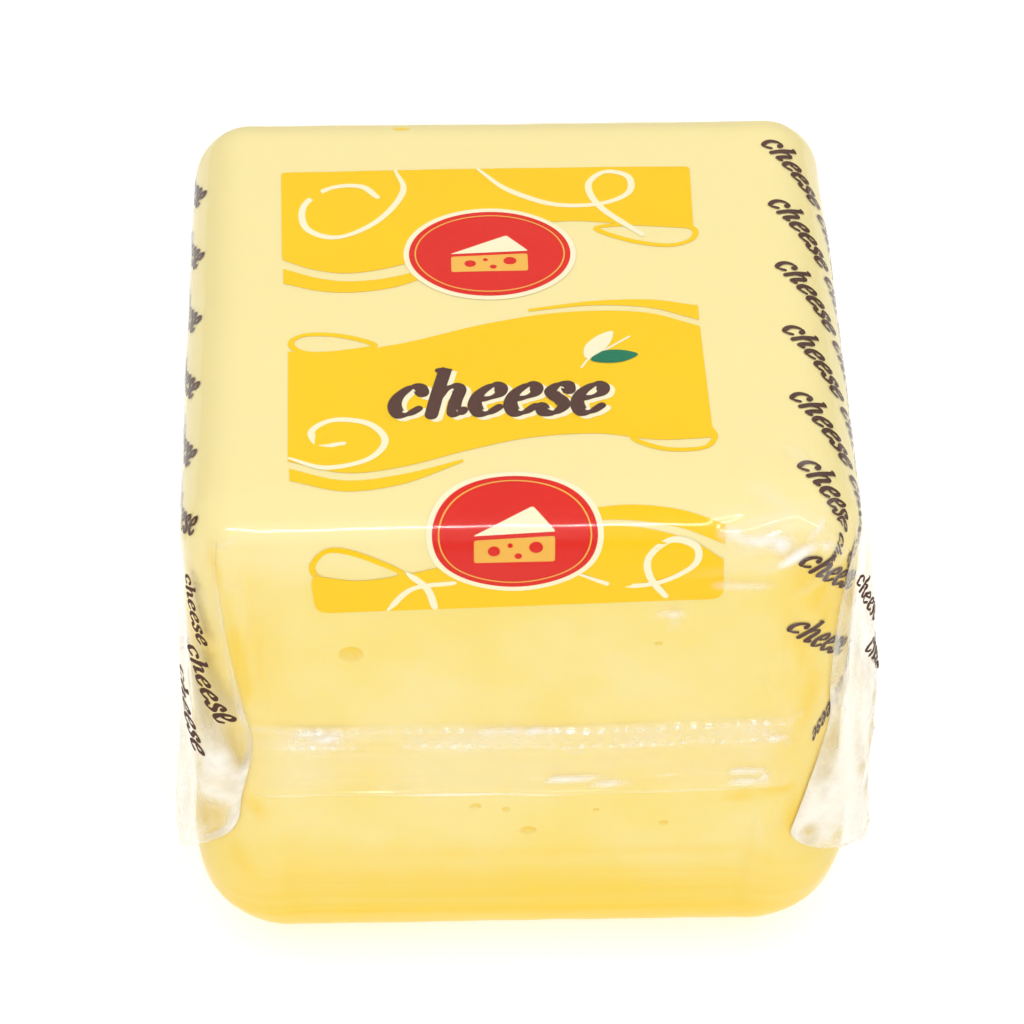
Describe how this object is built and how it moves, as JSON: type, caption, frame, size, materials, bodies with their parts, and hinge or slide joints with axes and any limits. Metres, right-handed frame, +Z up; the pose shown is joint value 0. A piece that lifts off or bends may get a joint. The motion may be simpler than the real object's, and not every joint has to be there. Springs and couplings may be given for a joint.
{
  "type": "wrapped cheese block",
  "caption": "Soft-cornered block of pale yellow cheese packed in clear printed film with a folded seal fin and crumpled ears at each end.",
  "frame": {"origin": "on the resting surface, under the middle of the pack", "axes": "+Z up, +X along the pack's width, -Y out of the end that carries the open mouth of the bag"},
  "size_m": [0.1096, 0.105, 0.105],
  "materials": {
    "cheese": "moist waxy cut cheese, pale yellow, with a few small eyes",
    "clear_film": "clear glossy packing film, wrinkled at the ends",
    "print_yellow": "golden yellow ink under gloss",
    "print_red": "red ink under gloss",
    "print_brown": "dark brown ink under gloss",
    "print_cream": "cream white ink under gloss",
    "print_green": "green ink under gloss"
  },
  "bodies": {
    "root": {"cheese_block": "cheese", "film_bag": "clear_film"}
  },
  "joints": []
}
